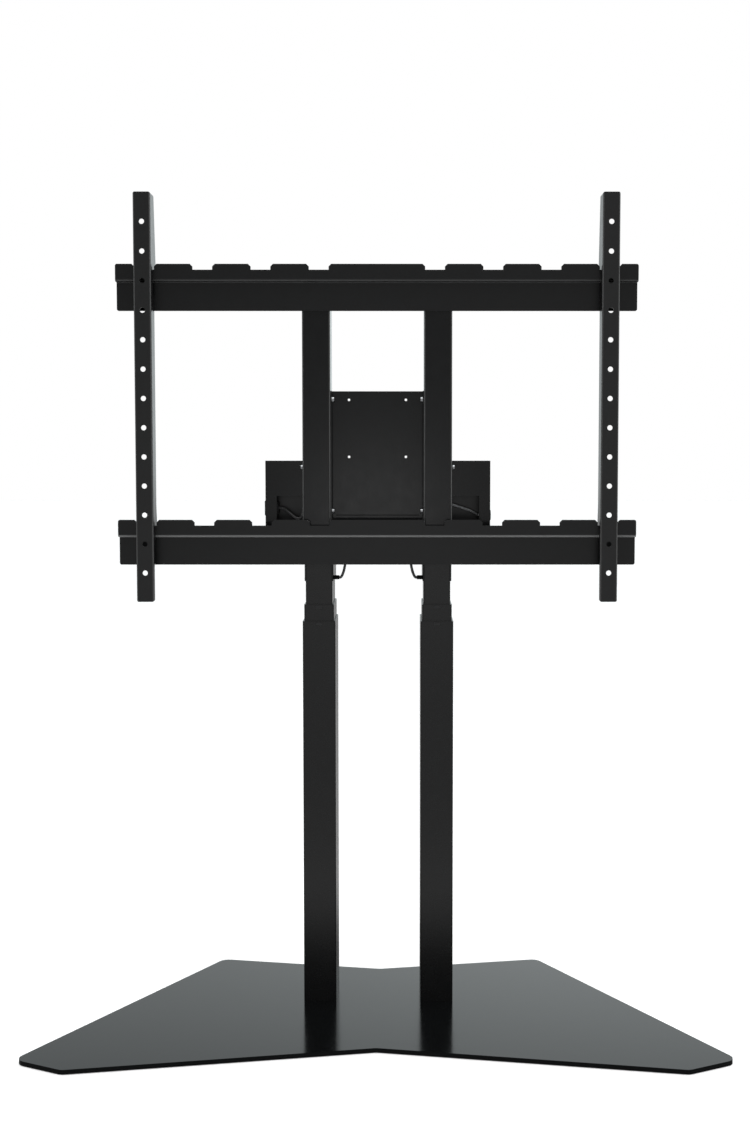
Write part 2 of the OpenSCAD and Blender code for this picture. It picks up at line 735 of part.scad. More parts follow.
// Z-shaped rail: lip in front and up, flange behind and down, with a notched upper edge
rail_outline = rounded(
    [[0, flange_h], [0, rail_h], [rail_t, rail_h], [rail_t, flange_h + rail_t],
     [rail_step + rail_t, flange_h + rail_t], [rail_step + rail_t, 0], [rail_step, 0], [rail_step, flange_h]],
    [rail_r, 0, 0, rail_r - rail_t, rail_r, 0, 0, rail_r - rail_t]);
recess_outline = [
    [-recess_w / 2 - shoulder_w - overrun, rail_h + overrun * shoulder_h / shoulder_w],
    [-recess_w / 2, rail_h - shoulder_h], [-recess_w / 2, seat_z],
    [recess_w / 2, seat_z], [recess_w / 2, rail_h - shoulder_h],
    [recess_w / 2 + shoulder_w + overrun, rail_h + overrun * shoulder_h / shoulder_w]
];
rail_face = [[rail_len / 2, 0], [rail_len / 2, rail_h], [-rail_len / 2, rail_h], [-rail_len / 2, 0]];

module rail(z) {
    color("#1d1f20") translate([0, lip_front_y, z]) {
        difference() {
            intersection() {
                along_x(rail_len, rail_outline);
                along_y(-overrun, rail_step + rail_t + overrun, rounded(rail_face, same(rail_face, rail_corner_r)));
            }
            for (x = recess_places) translate([x, 0, 0]) along_y(-overrun, rail_t + overrun, recess_outline);
        }
        for (s = [left, right]) for (h = stud_heights)
            rod_y(s * column_pitch / 2, rail_step + rail_t / 2, rail_step + rail_t + stud_len, h, stud_r);
    }
}

rail_nut_r = 7.2;
rail_nut_h = 6.5;

module rail_nuts() {
    color("#a5a8ab") for (s = [left, right]) for (rail = [lower_rail_z, upper_rail_z]) for (h = stud_heights)
        translate([s * column_pitch / 2, upright_front_y + upright_t, rail + h]) rotate([-90, 0, 0]) difference() {
            cylinder(r = rail_nut_r, h = rail_nut_h, $fn = 6);
            translate([0, 0, -overrun]) cylinder(r = stud_r + thread_gap, h = rail_nut_h + 2 * overrun, $fn = round_fn);
        }
}

module device_plate() {
    color("#232527") difference() {
        translate([0, device_web_y + device_t, device_bottom]) rotate([0, 0, 180]) linear_extrude(device_h)
            polygon(channel_points(device_w, device_flange_d, device_t, device_t + overrun));
        translate([-device_w / 2 + 4 * device_t, device_web_y - overrun, device_slot_z - device_slot_h])
            cube([device_w - 8 * device_t, device_t + 2 * overrun, device_slot_h]);
        for (x = [-1, 1]) for (z = [0, 1])
            rod_y(x * device_pitch / 2, device_web_y - overrun, device_web_y + device_t + overrun,
                  device_holes_z - z * device_pitch, device_hole_r);
        for (s = [left, right]) for (z = device_bolts_z)
            rod_x(s * (upright_inner_x - device_t - overrun), s * (upright_inner_x + overrun),
                  device_bolt_y, z, side_bolt_r + bolt_gap);
    }
}

// Bolt with its head outside and its axis along X
module side_bolt(x, toward, y, z, grip) {
    rod_x(x, x - toward * side_head_h, y, z, side_head_r);
    rod_x(x - toward * thread_gap, x + toward * grip, y, z, side_bolt_r);
}

side_bolt_tail = 3;

module side_bolts() {
    color("#d0d2d4") for (s = [left, right]) {
        for (z = device_bolts_z)
            side_bolt(s * (upright_inner_x - device_t), s, device_bolt_y, z, device_t + upright_t + side_bolt_tail);
        side_bolt(s * (upright_outer_x + panel_t), -s, ear_bolt_y, ear_bolt_z, panel_t + upright_t + side_bolt_tail);
    }
}

module cross_panel() {
    color("#232527") difference() {
        union() {
            translate([-panel_w / 2, panel_front_y, panel_z]) cube([panel_w, panel_t, panel_h]);
            for (s = [left, right])
                translate([s > 0 ? upright_outer_x : -upright_outer_x - panel_t, panel_front_y - ear_d, panel_top - ear_h])
                    cube([panel_t, ear_d + panel_t / 2, ear_h]);
        }
        for (s = [left, right]) {
            translate([s * (panel_w / 2 - cable_window_in - cable_window_w / 2) - cable_window_w / 2,
                       panel_front_y - overrun, panel_z + cable_window_up])
                cube([cable_window_w, panel_t + 2 * overrun, cable_window_h]);
            rod_x(s * (upright_outer_x - overrun), s * (upright_outer_x + panel_t + overrun),
                  ear_bolt_y, ear_bolt_z, side_bolt_r + bolt_gap);
            head_bolt_holes(s, head_bolt_r + bolt_gap);
            rod_y(s * lug_screw_x, panel_front_y - overrun, head_front_y + overrun, lug_screw_z,
                  lug_screw_r + thread_gap);
        }
    }
}

module cover_posts() {
    color("#8f9296") for (p = cover_post_places) difference() {
        rod_y(p[0], head_front_y, wing_rear_y, p[1], cover_post_r);
        rod_y(p[0], wing_rear_y - cover_screw_len - fit_gap, wing_rear_y + overrun, p[1],
              cover_screw_r + thread_gap);
    }
}

cover_screw_len = 8;
cover_head_r = 4;
cover_head_h = 2.5;
slot_count = 9;
slot_pitch = 18;
slot_w = 6;
slot_h = 46;

// Plan outline of the rear cover, grown outward by g, from its open front at y0
function cover_points(g, y0) = [
    [-panel_w / 2 + cover_t - g, y0], [panel_w / 2 - cover_t + g, y0],
    [panel_w / 2 - cover_t + g, wing_rear_y + g], [core_w / 2 - cover_t + g, wing_rear_y + g],
    [core_w / 2 - cover_t + g, cover_rear_y + g], [-core_w / 2 + cover_t - g, cover_rear_y + g],
    [-core_w / 2 + cover_t - g, wing_rear_y + g], [-panel_w / 2 + cover_t - g, wing_rear_y + g]
];

module rear_cover() {
    color("#1c1e1f") difference() {
        translate([0, 0, panel_z]) linear_extrude(panel_h) polygon(cover_points(cover_t, head_front_y));
        translate([0, 0, panel_z - overrun]) linear_extrude(panel_h - cover_t + overrun)
            polygon(cover_points(0, head_front_y - overrun));
        for (p = cover_post_places)
            rod_y(p[0], wing_rear_y - overrun, wing_rear_y + cover_t + overrun, p[1], cover_screw_r + bolt_gap);
        for (i = [0 : slot_count - 1])
            translate([(i - (slot_count - 1) / 2) * slot_pitch - slot_w / 2, cover_rear_y - overrun,
                       panel_z + panel_h / 2])
                cube([slot_w, cover_t + 2 * overrun, slot_h]);
        translate([-panel_w / 2 - overrun, inlet_y - inlet_w / 2 - bolt_gap, inlet_z - inlet_h / 2 - bolt_gap])
            cube([cover_t + 2 * overrun, inlet_w + 2 * bolt_gap, inlet_h + 2 * bolt_gap]);
        rod_x(panel_w / 2 - cover_t - overrun, panel_w / 2 + overrun, socket_y, socket_z, socket_r + bolt_gap);
    }
}

module cover_screws() {
    color("#9a9da1") for (p = cover_post_places) {
        rod_y(p[0], wing_rear_y + cover_t, wing_rear_y + cover_t + cover_head_h, p[1], cover_head_r);
        rod_y(p[0], wing_rear_y - cover_screw_len, wing_rear_y + cover_t + thread_gap, p[1], cover_screw_r);
    }
}

lug_screw_x = control_w / 2 + lug_w / 2;
control_corner_r = 3;

module control_unit() {
    color("#161718") difference() {
        union() {
            translate([0, head_front_y + control_d / 2, control_z]) linear_extrude(control_h)
                polygon(rect_points(control_w, control_d, control_corner_r));
            translate([-control_w / 2 - lug_w, head_front_y, lug_screw_z - lug_w / 2])
                cube([control_w + 2 * lug_w, lug_t, lug_w]);
        }
        for (s = [left, right])
            rod_y(s * lug_screw_x, head_front_y - overrun, head_front_y + lug_t + overrun, lug_screw_z, lug_hole_r);
    }
}

module control_unit_screws() {
    color("#9a9da1") for (s = [left, right]) {
        rod_y(s * lug_screw_x, head_front_y + lug_t, head_front_y + lug_t + cover_head_h, lug_screw_z, cover_head_r);
        rod_y(s * lug_screw_x, panel_front_y + thread_gap, head_front_y + lug_t + thread_gap, lug_screw_z, lug_screw_r);
    }
}

inlet_wall = 2;
inlet_flange = 3;
pin_w = 2;
pin_h = 4;
pin_len = 14;
pin_pitch = 7;

module mains_inlet() {
    x0 = -panel_w / 2;
    color("#111213") translate([x0, inlet_y, inlet_z]) {
        difference() {
            union() {
                translate([-inlet_wall, -inlet_w / 2 - inlet_flange, -inlet_h / 2 - inlet_flange])
                    cube([inlet_wall, inlet_w + 2 * inlet_flange, inlet_h + 2 * inlet_flange]);
                translate([-inlet_wall, -inlet_w / 2, -inlet_h / 2]) cube([inlet_d + inlet_wall, inlet_w, inlet_h]);
            }
            translate([-inlet_wall - overrun, -inlet_w / 2 + inlet_wall, -inlet_h / 2 + inlet_wall])
                cube([inlet_d + overrun, inlet_w - 2 * inlet_wall, inlet_h - 2 * inlet_wall]);
        }
        for (k = [-1, 0, 1])
            translate([inlet_d - inlet_wall - pin_len, k * pin_pitch - pin_w / 2, (k == 0 ? 1 : -1) * pin_w - pin_h / 2])
                cube([pin_len + inlet_wall / 2, pin_w, pin_h]);
    }
}

module signal_socket() {
    x0 = panel_w / 2;
    color("#111213") difference() {
        union() {
            rod_x(x0, x0 + inlet_wall, socket_y, socket_z, socket_r + inlet_flange);
            rod_x(x0 - cover_t - socket_d, x0 + overrun, socket_y, socket_z, socket_r);
        }
        rod_x(x0 - socket_d / 2, x0 + inlet_wall + overrun, socket_y, socket_z, socket_r - inlet_wall);
    }
}

// Strain relief boot, thicker in the wall and tapering towards the lead
module lead_boot(side) {
    color("#101010") {
        rod_x(side * (boot_face_x - thread_gap), side * (boot_face_x + sleeve_wall + tube_wall), boot_y, boot_z, boot_r);
        translate([side * boot_face_x, boot_y, boot_z]) rotate([0, -side * 90, 0])
            cylinder(r1 = boot_r, r2 = boot_r * boot_tip_share, h = boot_len, $fn = round_fn);
    }
}

module motor_lead(side) {
    route = [for (p = motor_lead_points) [side * p[0], boot_y, p[1]]];
    color("#131313") lead_tube(route, motor_lead_r, [0, 1, 0], [-side, 0, 0], [0, 0, 1]);
}

module inlet_lead() {
    color("#131313") lead_tube(inlet_lead_points, inlet_lead_r, [0, 1, 0], [1, 0, 0], [1, 0, 0]);
}

module signal_lead() {
    color("#a9abad") lead_tube(signal_lead_points, signal_lead_r, [0, 1, 0], [1, 0, 0], [1, 0, 0]);
}

// Side view of an arm: web in front, hooks over the rail lips behind it
lip_slot_front = lip_setback - hook_clearance;
lip_slot_rear = lip_setback + rail_t + hook_clearance;
lower_seat = hook_height + hook_clearance;
upper_seat = lower_seat + rail_pitch;
ledge_room = hook_reach + 4;
arm_low_hook_d = 42;
arm_low_taper = 36;
arm_outline = [
    [0, 0], [arm_foot_d, 0],
    [arm_foot_d, lower_seat - hook_reach - ledge_room], [lip_slot_front, lower_seat - hook_reach - ledge_room / 2],
    [lip_slot_front, lower_seat], [lip_slot_rear, lower_seat],
    [lip_slot_rear, lower_seat - hook_reach], [arm_low_hook_d, lower_seat - hook_reach],
    [arm_low_hook_d, lower_seat], [arm_mid_d, lower_seat + arm_low_taper],
    [arm_mid_d, upper_seat - seat_z + flange_h - 1.5 * ledge_room],
    [lip_slot_front, upper_seat - seat_z + flange_h - ledge_room],
    [lip_slot_front, upper_seat], [lip_slot_rear, upper_seat],
    [lip_slot_rear, upper_seat - hook_reach], [arm_hook_d, upper_seat - hook_reach],
    [arm_hook_d, upper_seat], [arm_top_d, arm_len], [0, arm_len]
];
arm_face = [[arm_w / 2, 0], [arm_w / 2, arm_len], [-arm_w / 2, arm_len], [-arm_w / 2, 0]];

module arm(side) {
    color("#232527") translate([side * arm_pitch / 2, arm_front_y, arm_z]) difference() {
        intersection() {
            linear_extrude(arm_len) polygon(channel_points(arm_w, arm_hook_d, arm_t, arm_r));
            along_x(arm_w + 2 * overrun, arm_outline);
            along_y(-overrun, arm_hook_d + overrun, rounded(arm_face, same(arm_face, arm_end_r)));
        }
        for (i = [0 : hole_count - 1])
            rod_y(0, -overrun, arm_t + overrun, first_hole + i * hole_pitch, hole_r);
    }
}

floor_plate();
floor_pads();
foot_screws();
foot_block(left);  // foot_block_left
foot_block(right);  // foot_block_right
outer_tube(left);  // outer_tube_left
outer_tube(right);  // outer_tube_right
glide(left, outer_w, outer_d, outer_top);  // outer_glide_left
glide(right, outer_w, outer_d, outer_top);  // outer_glide_right
nut_post(left);  // nut_post_left
nut_post(right);  // nut_post_right
spindle_nut(left);  // spindle_nut_left
spindle_nut(right);  // spindle_nut_right
middle_tube(left);  // middle_tube_left
middle_tube(right);  // middle_tube_right
glide(left, middle_w, middle_d, middle_top);  // middle_glide_left
glide(right, middle_w, middle_d, middle_top);  // middle_glide_right
shoe(left, middle_w, middle_d, middle_bottom);  // middle_shoe_left
shoe(right, middle_w, middle_d, middle_bottom);  // middle_shoe_right
inner_tube(left);  // inner_tube_left
inner_tube(right);  // inner_tube_right
shoe(left, inner_w, inner_d, inner_bottom);  // inner_shoe_left
shoe(right, inner_w, inner_d, inner_bottom);  // inner_shoe_right
head_sleeve(left);  // head_sleeve_left
head_sleeve(right);  // head_sleeve_right
gearbox(left);  // gearbox_left
gearbox(right);  // gearbox_right
motor(left);  // motor_left
motor(right);  // motor_right
spindle(left);  // spindle_left
spindle(right);  // spindle_right
head_bracket(left);  // head_bracket_left
head_bracket(right);  // head_bracket_right
head_bolts();
bracket_bolts();
upright(left);  // upright_left
upright(right);  // upright_right
rail(upper_rail_z);  // upper_rail
rail(lower_rail_z);  // lower_rail
rail_nuts();
device_plate();
side_bolts();
cross_panel();
cover_posts();
rear_cover();
cover_screws();
control_unit();
control_unit_screws();
mains_inlet();
inlet_lead();
signal_socket();
signal_lead();
lead_boot(left);  // lead_boot_left
lead_boot(right);  // lead_boot_right
motor_lead(left);  // motor_lead_left
motor_lead(right);  // motor_lead_right
arm(left);  // arm_left
arm(right);  // arm_right
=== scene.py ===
import json
import math
import bpy
import bmesh
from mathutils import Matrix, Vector

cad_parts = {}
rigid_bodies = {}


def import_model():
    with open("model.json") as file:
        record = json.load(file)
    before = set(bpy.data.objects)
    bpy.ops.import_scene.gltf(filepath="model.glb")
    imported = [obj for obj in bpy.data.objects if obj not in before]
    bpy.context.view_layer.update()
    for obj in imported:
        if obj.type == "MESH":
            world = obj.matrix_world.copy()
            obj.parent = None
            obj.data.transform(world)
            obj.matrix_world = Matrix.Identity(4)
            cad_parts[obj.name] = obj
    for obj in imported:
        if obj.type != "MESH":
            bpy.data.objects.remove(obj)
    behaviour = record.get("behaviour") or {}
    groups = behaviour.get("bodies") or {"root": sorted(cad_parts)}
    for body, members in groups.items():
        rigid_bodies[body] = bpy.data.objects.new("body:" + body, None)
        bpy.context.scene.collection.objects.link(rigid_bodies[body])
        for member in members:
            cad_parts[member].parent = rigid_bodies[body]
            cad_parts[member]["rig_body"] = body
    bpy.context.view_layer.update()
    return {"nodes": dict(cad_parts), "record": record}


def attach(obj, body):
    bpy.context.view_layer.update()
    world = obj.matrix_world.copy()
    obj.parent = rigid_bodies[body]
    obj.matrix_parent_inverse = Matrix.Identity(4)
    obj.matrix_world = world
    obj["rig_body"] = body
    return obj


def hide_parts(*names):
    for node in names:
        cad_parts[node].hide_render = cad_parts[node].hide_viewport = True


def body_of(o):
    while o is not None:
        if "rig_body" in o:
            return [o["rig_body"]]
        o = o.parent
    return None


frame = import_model()
nodes = frame["nodes"]
MM = 0.001
SIDES = (("left", -1), ("right", 1))


# ---------------------------------------------------------------- camera
# Fitted to the holes and edges in the photo, whose frame is cropped off centre
PHOTO_HEIGHT_PX = 1124
SHIFT_PX = (-28.5, -5.15)
CAMERA_AT = (0.04359, -2.74943, 1.00876)
CAMERA_DOWN, CAMERA_ROLL, CAMERA_TURN = 0.06678, -0.00007, -0.00081

cam_data = bpy.data.cameras.new("camera")
cam = bpy.data.objects.new("camera", cam_data)
bpy.context.scene.collection.objects.link(cam)
cam_data.sensor_fit = "VERTICAL"
cam_data.sensor_height = 36.0
cam_data.lens = 50.0
cam_data.clip_end = 200.0
cam_data.shift_x = SHIFT_PX[0] / PHOTO_HEIGHT_PX
cam_data.shift_y = SHIFT_PX[1] / PHOTO_HEIGHT_PX
cam.location = CAMERA_AT
cam.rotation_euler = (math.pi / 2 - CAMERA_DOWN, CAMERA_ROLL, CAMERA_TURN)
bpy.context.scene.camera = cam
bpy.context.scene.view_settings.view_transform = "Standard"


# ---------------------------------------------------------------- node helpers
def add(tree, kind, inputs=(), **settings):
    """A new shader node with its settings; each input is set to a value or linked to an output."""
    node = tree.nodes.new("ShaderNode" + kind)
    for key, value in settings.items():
        setattr(node, key, value)
    for key, value in dict(inputs).items():
        if isinstance(value, bpy.types.NodeSocket):
            tree.links.new(value, node.inputs[key])
        else:
            node.inputs[key].default_value = value
    return node


def maths(tree, operation, *values, clamp=False):
    return add(tree, "Math", enumerate(values), operation=operation, use_clamp=clamp).outputs[0]


def steps(tree, value, start, end, at_start, at_end, kind="SMOOTHSTEP"):
    """One value before start, another one after end, and a blend between them."""
    limits = {"Value": value, "From Min": start, "From Max": end, "To Min": at_start, "To Max": at_end}
    return add(tree, "MapRange", limits, interpolation_type=kind).outputs[0]


def grey(value):
    return (value, value, value, 1)


# ---------------------------------------------------------------- materials
MOTTLE_SCALE = 60.0      # slow change of colour and roughness over a surface
ROUGHNESS_SPREAD = 0.03
GRAIN_DEPTH = 0.0004


def material(name, colour, roughness, metallic=0.0, spread=0.12, grain=900.0, bump=0.02,
             specular=0.5, bend_highlight=0.0, upright_highlight_share=0.0):
    """Painted, plated or moulded finish: colour and roughness vary a little, with a fine surface
    grain. A lighter grey on level bends and edges is a painted highlight for the light they catch;
    the last two arguments give that grey and how much of it upright bends get."""
    m = bpy.data.materials.new(name)
    m.use_nodes = True
    t = m.node_tree
    b = t.nodes["Principled BSDF"]
    b.inputs["Metallic"].default_value = metallic
    b.inputs["Specular IOR Level"].default_value = specular
    co = add(t, "TexCoord")
    at = co.outputs["Object"]
    mottle = add(t, "TexNoise", {"Scale": MOTTLE_SCALE, "Detail": 4.0, "Vector": at}).outputs["Fac"]
    fine = add(t, "TexNoise", {"Scale": grain, "Detail": 2.0, "Vector": at}).outputs["Fac"]

    ramp = add(t, "ValToRGB", {"Fac": mottle})
    dark, light = ramp.color_ramp.elements
    dark.position, light.position = 0.3, 0.7
    dark.color = (*(max(0.0, c * (1 - spread)) for c in colour), 1)
    light.color = (*(min(1.0, c * (1 + spread)) for c in colour), 1)
    colour_out = ramp.outputs["Color"]
    if bend_highlight:
        # Squares of the object normal: a bend is where two of them share the direction
        normal = co.outputs["Normal"]
        squares = add(t, "VectorMath", {0: normal, 1: normal}, operation="MULTIPLY").outputs[0]
        sep = add(t, "SeparateXYZ", {0: squares})
        x2, y2, z2 = (sep.outputs[axis] for axis in "XYZ")
        upright = maths(t, "MULTIPLY", maths(t, "MULTIPLY", x2, 4.0 * upright_highlight_share), y2)
        level = maths(t, "MULTIPLY", z2, maths(t, "SUBTRACT", 1.0, z2))
        bends = maths(t, "MULTIPLY_ADD", level, 4.0, upright, clamp=True)
        # Bends are painted a lighter grey: a painted highlight for the light they catch
        colour_out = add(t, "Mix", {"Factor": bends, "A": colour_out, "B": grey(bend_highlight)},
                         data_type="RGBA").outputs["Result"]
    t.links.new(colour_out, b.inputs["Base Color"])

    rough = steps(t, mottle, 0.0, 1.0, max(0.02, roughness - ROUGHNESS_SPREAD),
                  min(1.0, roughness + ROUGHNESS_SPREAD), kind="LINEAR")
    t.links.new(rough, b.inputs["Roughness"])
    grained = add(t, "Bump", {"Strength": bump, "Distance": GRAIN_DEPTH, "Height": fine})
    t.links.new(grained.outputs["Normal"], b.inputs["Normal"])
    return m


BLACK = (0.0040, 0.0043, 0.0045)
# The lighter grey that the finishes below get on their bends is a painted highlight, set part by part:
# brightest on the lower rail and the glide clips, faint on the top rail
COAT = material("black_coat", BLACK, 0.19, bump=0.06, specular=0.23, bend_highlight=0.045)
UPRIGHT = material("upright_coat", BLACK, 0.19, bump=0.06, specular=0.225, bend_highlight=0.10, upright_highlight_share=1.0)
RAIL = material("rail_coat", BLACK, 0.30, bump=0.06, specular=0.32, bend_highlight=0.20)
TOP_RAIL = material("top_rail_coat", BLACK, 0.30, bump=0.06, specular=0.29, bend_highlight=0.05)
ARM = material("arm_coat", BLACK, 0.30, bump=0.06, specular=0.43, bend_highlight=0.09, upright_highlight_share=0.8)
COLUMN = material("column_coat", (0.0026, 0.0029, 0.0031), 0.27, bump=0.05, specular=0.39,
                  bend_highlight=0.05)
# The housing coat is a lighter black than the other coats: painted light, lifting its shaded inside
# seen through the windows
HOUSING = material("housing_coat", (0.0080, 0.0084, 0.0086), 0.30, bump=0.03, specular=0.43)
PLATE = material("plate_coat", (0.0022, 0.0026, 0.0028), 0.13, bump=0.01, spread=0.06,
                 specular=0.3)
GLIDE = material("glide_plastic", (0.014, 0.014, 0.015), 0.42, bump=0.10, grain=1800.0,
                 specular=0.4, bend_highlight=0.16)
PLASTIC = material("dark_plastic", (0.018, 0.018, 0.019), 0.45, bump=0.12, grain=1800.0,
                   specular=0.35)
STEEL = material("plain_steel", (0.40, 0.40, 0.41), 0.35, metallic=1.0)
ZINC = material("zinc_plate", (0.36, 0.37, 0.38), 0.30, metallic=1.0, grain=1500.0)
BRONZE = material("bronze", (0.45, 0.28, 0.10), 0.35, metallic=1.0)
CAST = material("cast_aluminium", (0.52, 0.53, 0.55), 0.5, metallic=1.0, bump=0.15)
CAN = material("motor_can", (0.50, 0.51, 0.53), 0.3, metallic=1.0)
RUBBER = material("rubber", (0.004, 0.004, 0.004), 0.75, bump=0.2, specular=0.1)
SHEATH = material("black_sheath", (0.012, 0.012, 0.0123), 0.38, bump=0.03, specular=0.35)
# Lighter copies of the black sheath: the motor leads' grey is a painted highlight, and the inlet
# lead's mid grey is painted light on a lead in the housing's shade
SHEATH_PAINTED_HIGHLIGHT = material("grey_sheath", (0.045, 0.045, 0.046), 0.38, bump=0.03, specular=0.35)
SHEATH_PAINTED_LIGHT = material("worn_sheath", (0.15, 0.15, 0.153), 0.38, bump=0.03, specular=0.35)
PALE = material("pale_sheath", (0.36, 0.37, 0.38), 0.4, bump=0.03)

SLOTS = {
    "black_coat": COAT, "raw_steel": STEEL, "zinc_steel": ZINC, "guide_plastic": PLASTIC,
    "nut_bronze": BRONZE, "cast_aluminium": CAST, "motor_can": CAN, "rubber_black": RUBBER,
    "housing_plastic": PLASTIC, "cable_black": SHEATH, "cable_grey": PALE,
}
slot_of = {s["node"]: s["material_slot"] for s in frame["record"]["subparts"]}


def paint(obj, mat):
    if obj.material_slots:
        for s in obj.material_slots:
            s.material = mat
    else:
        obj.data.materials.append(mat)


def soften(obj, width):
    """A small radius on the sharp edges of a CAD node."""
    b = obj.modifiers.new("edges", "BEVEL")
    b.width = width
    b.segments = 2
    b.limit_method = "ANGLE"
    b.angle_limit = math.radians(50)
    b.harden_normals = False
    b.use_clamp_overlap = True


for name, obj in nodes.items():
    paint(obj, SLOTS[slot_of[name]])
paint(nodes["floor_plate"], PLATE)
paint(nodes["rear_cover"], HOUSING)
paint(nodes["lower_rail"], RAIL)
paint(nodes["upper_rail"], TOP_RAIL)
TUBES = ("head_sleeve_", "inner_tube_", "middle_tube_", "outer_tube_")
GLIDES = ("outer_glide_", "middle_glide_")
for side, _ in SIDES:
    paint(nodes["arm_" + side], ARM)
    paint(nodes["upright_" + side], UPRIGHT)
    for name in TUBES:
        paint(nodes[name + side], COLUMN)
    for name in GLIDES:
        paint(nodes[name + side], GLIDE)

SHEET_EDGE, TUBE_EDGE, CASE_EDGE = 0.0005, 0.0007, 0.0008
for name in ("floor_plate", "upper_rail", "lower_rail", "arm_left", "arm_right", "device_plate",
             "cross_panel", "upright_left", "upright_right", "rear_cover", "mains_inlet",
             "signal_socket", "floor_pads"):
    soften(nodes[name], SHEET_EDGE)
for name in TUBES + GLIDES:
    for side, _ in SIDES:
        soften(nodes[name + side], TUBE_EDGE)
soften(nodes["control_unit"], CASE_EDGE)


# ---------------------------------------------------------------- detailed stand-ins for CAD nodes
ACROSS = ((1, 2), (2, 0), (0, 1))  # the other two axes of each axis
HEX_HALF = math.pi / 6


def clusters(obj):
    """The corner points of each separate solid in a CAD node."""
    me = obj.data
    seen = {}
    ids = [seen.setdefault(tuple(round(c, 6) for c in v.co), len(seen)) for v in me.vertices]
    root = list(range(len(seen)))

    def find(a):
        while root[a] != a:
            root[a] = root[root[a]]
            a = root[a]
        return a

    for p in me.polygons:
        r = find(ids[p.vertices[0]])
        for i in p.vertices:
            root[find(ids[i])] = r
    groups = {}
    for v in me.vertices:
        groups.setdefault(find(ids[v.index]), []).append(v.co.copy())
    return list(groups.values())


def ring_radius(r, hexed, a):
    """The radius at an angle: of a circle, or of a hexagon with r from its centre to a flat."""
    return r / math.cos((a + HEX_HALF) % (2 * HEX_HALF) - HEX_HALF) if hexed else r


def lathe(bm, rings, origin, axis, sign, segs=24, closed=False):
    """A turned form: rings are (distance along the axis, radius, hexagonal or not)."""
    u, v = ACROSS[axis]
    loops = []
    for z, r, hexed in rings:
        loop = []
        for k in range(1 if r <= 0 else segs):
            a = 2 * math.pi * k / segs
            rr = 0 if r <= 0 else ring_radius(r, hexed, a)
            co = [0.0, 0.0, 0.0]
            co[axis] = origin[axis] + sign * z
            co[u] = origin[u] + rr * math.cos(a)
            co[v] = origin[v] + sign * rr * math.sin(a)
            loop.append(bm.verts.new(co))
        loops.append(loop)
    pairs = list(zip(loops, loops[1:])) + ([(loops[-1], loops[0])] if closed else [])
    for a, b in pairs:
        n = max(len(a), len(b))
        for k in range(n):
            q = [a[k % len(a)], a[(k + 1) % len(a)], b[(k + 1) % len(b)], b[k % len(b)]]
            bm.faces.new(list(dict.fromkeys(q)))


def piece(name, bm, mat, slot_name, body, *replaced, sharp=35):
    bmesh.ops.recalc_face_normals(bm, faces=bm.faces[:])
    me = bpy.data.meshes.new(name)
    bm.to_mesh(me)
    bm.free()
    me.polygons.foreach_set("use_smooth", [True] * len(me.polygons))
    me.set_sharp_from_angle(angle=math.radians(sharp))
    me.materials.append(mat)
    o = bpy.data.objects.new(name, me)
    bpy.context.scene.collection.objects.link(o)
    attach(o, body)
    if replaced:
        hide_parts(*replaced)


def turned_size(pts, axis):
    """Centre, ends and end radii of one turned solid, and each point's place and radius."""
    lo = [min(p[i] for p in pts) for i in range(3)]
    hi = [max(p[i] for p in pts) for i in range(3)]
    mid = [(a + b) / 2 for a, b in zip(lo, hi)]
    u, v = ACROSS[axis]
    rad = [(p[axis], math.hypot(p[u] - mid[u], p[v] - mid[v])) for p in pts]
    near = 0.05 * MM
    r_lo = max(r for z, r in rad if z < lo[axis] + near)
    r_hi = max(r for z, r in rad if z > hi[axis] - near)
    return mid, lo[axis], hi[axis], r_lo, r_hi, rad


def from_end(mid, axis, end):
    """The point on the centre line at one end of a turned solid."""
    origin = list(mid)
    origin[axis] = end
    return origin


def screws(name, node, axis):
    """Cap screws with a rounded head, a hexagon socket and a thread, each where its plain solid
    is. Sizes along the head are shares of its height, and radii are shares of the shank's or the
    head's."""
    thread_root, socket = 0.86, 0.46
    bm = bmesh.new()
    for pts in clusters(nodes[node]):
        mid, lo, hi, r_lo, r_hi, rad = turned_size(pts, axis)
        sign = 1 if r_hi > r_lo else -1
        rh, rs = max(r_lo, r_hi), min(r_lo, r_hi)
        zs = [z for z, r in rad if r > 0.9 * rh]
        head, length = max(zs) - min(zs), hi - lo
        under = length - head
        pitch = max(0.22 * rs, 0.7 * MM)
        rings = [(0, 0, False), (0, 0.72 * rs, False), (0.25 * rs, rs, False)]
        z = 0.25 * rs
        while z + pitch < under - 0.5 * rs:
            rings += [(z + pitch / 2, thread_root * rs, False), (z + pitch, rs, False)]
            z += pitch
        rings += [(under, rs, False), (under, rh, False), (length - 0.30 * head, rh, False),
                  (length - 0.10 * head, 0.955 * rh, False), (length, 0.84 * rh, False),
                  (length, 0.50 * rh, True), (length - 0.08 * head, socket * rh, True),
                  (length - 0.58 * head, socket * rh, True), (length - 0.66 * head, 0, False)]
        lathe(bm, rings, from_end(mid, axis, lo if sign > 0 else hi), axis, sign)
    piece(name, bm, SLOTS[slot_of[node]], slot_of[node], body_of(nodes[node])[0], node)


def nuts(name, node, axis):
    """Hexagon nuts, chamfered on both faces and at both ends of the bore."""
    bm = bmesh.new()
    for pts in clusters(nodes[node]):
        mid, lo, hi, _, _, rad = turned_size(pts, axis)
        flat = max(r for _, r in rad) * math.cos(HEX_HALF)
        bore, length = min(r for _, r in rad), hi - lo
        mouth, face, hexagon = 1.10 * bore, 0.94 * flat, 0.995 * flat
        rings = [(0.10 * length, bore, False), (0, mouth, False), (0, face, False),
                 (0.14 * length, hexagon, True), (0.86 * length, hexagon, True),
                 (length, face, False), (length, mouth, False), (0.90 * length, bore, False)]
        lathe(bm, rings, from_end(mid, axis, lo), axis, 1, closed=True)
    piece(name, bm, SLOTS[slot_of[node]], slot_of[node], body_of(nodes[node])[0], node)


